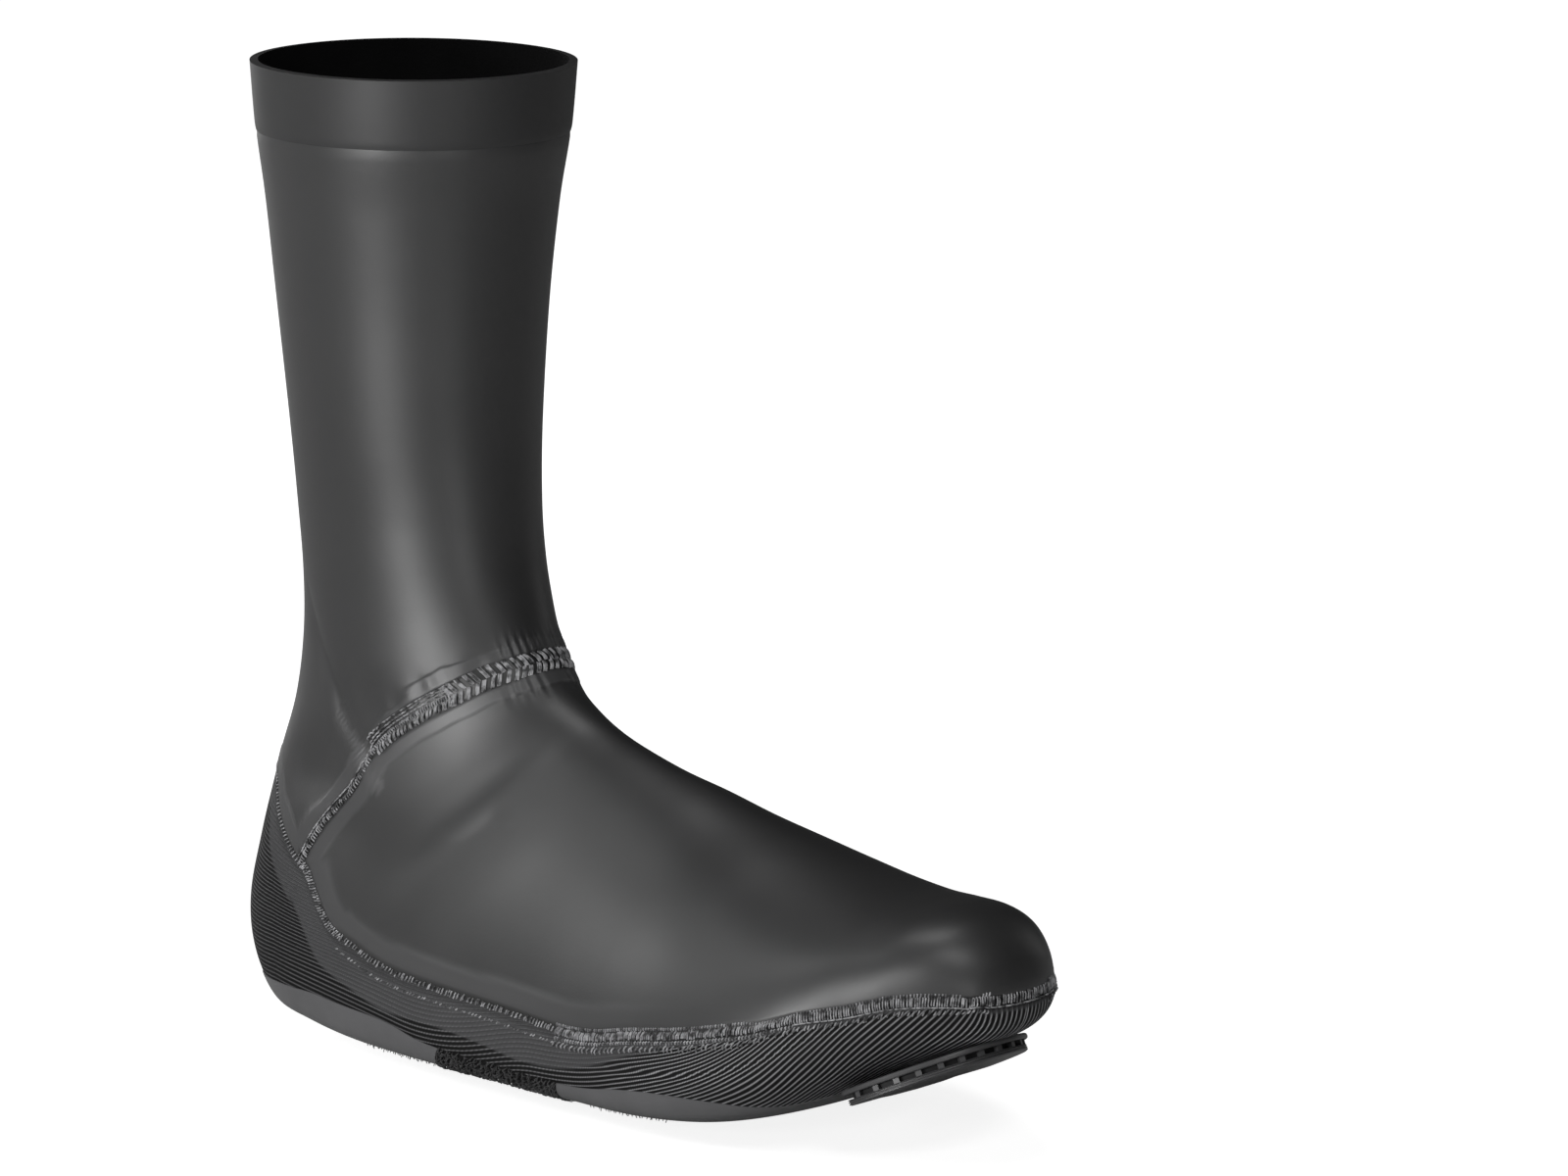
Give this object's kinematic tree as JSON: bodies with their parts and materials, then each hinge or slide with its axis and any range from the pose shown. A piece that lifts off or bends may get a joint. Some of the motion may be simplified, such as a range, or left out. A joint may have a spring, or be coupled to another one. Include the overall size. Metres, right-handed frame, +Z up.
{
  "type": "cycling overshoe",
  "caption": "Pull-on overshoe for a right cycling shoe: stretched leg tube, smooth upper, ribbed knit surround, open sole with hem tapes, arch strip and toe guard.",
  "frame": {"origin": "where the shoe inside stands: on the leg's axis, at the height of the overshoe's lowest hem", "axes": "+X towards the toe, +Y towards the inner side of the foot, +Z up the leg"},
  "size_m": [0.281, 0.1016, 0.2862],
  "materials": {
    "coated_cloth": "smooth coated stretch cloth, satin",
    "ribbed_knit": "fine ribbed knit, matt with satin ribs",
    "hem_tape": "smooth bonded tape, satin",
    "loop_cloth": "coarse loop cloth, matt",
    "moulded_rubber": "moulded rubber, satin"
  },
  "bodies": {
    "root": {"cuff_hem": "coated_cloth", "leg_tube": "coated_cloth", "foot_upper": "coated_cloth", "sole_knit": "ribbed_knit", "heel_hem_tape": "hem_tape", "cleat_hem_tape": "hem_tape", "arch_patch": "loop_cloth", "toe_guard": "moulded_rubber"}
  },
  "joints": []
}
